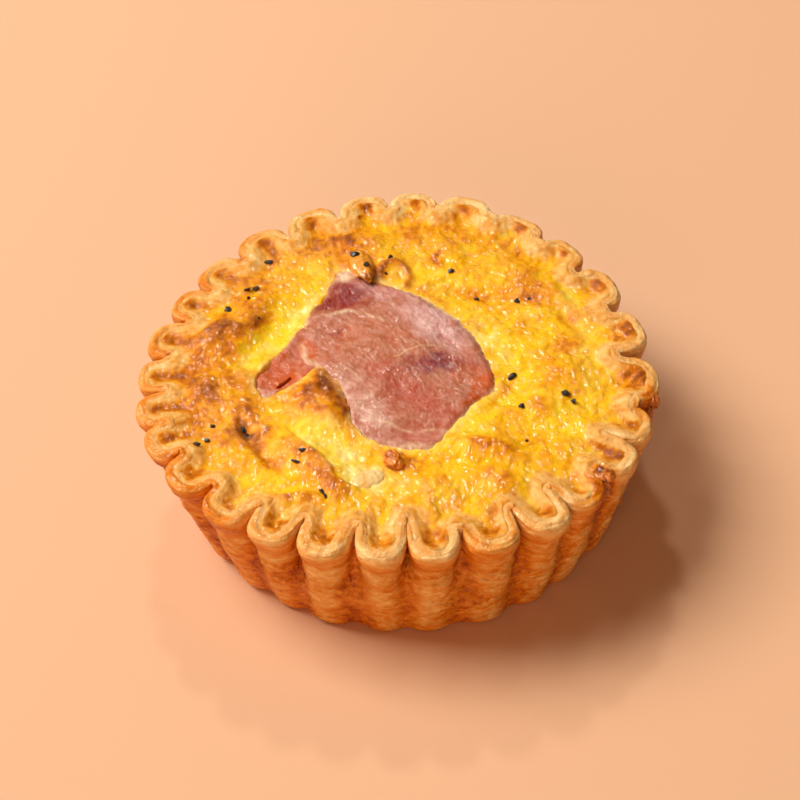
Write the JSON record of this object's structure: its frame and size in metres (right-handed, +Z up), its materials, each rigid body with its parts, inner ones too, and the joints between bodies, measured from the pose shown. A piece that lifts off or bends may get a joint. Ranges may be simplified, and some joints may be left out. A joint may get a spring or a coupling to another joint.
{
  "type": "quiche lorraine",
  "caption": "Small round quiche lorraine: a fluted pastry case filled with baked custard, with a torn slice of ham and cracked pepper on top.",
  "frame": {"origin": "centre of the flat underside of the pastry case", "axes": "+Z up; -Y towards the side that faces the viewer in the picture, +X to its right"},
  "size_m": [0.0988, 0.098, 0.03],
  "materials": {
    "pastry": null,
    "custard": null,
    "ham": null,
    "caramel": null,
    "bacon": null,
    "onion": null
  },
  "bodies": {
    "root": {"pastry_case": "pastry", "custard_filling": "custard", "ham_slice": "ham", "caramelised_bit": "caramel", "bacon_bit": "bacon", "onion_piece": "onion"}
  },
  "joints": []
}
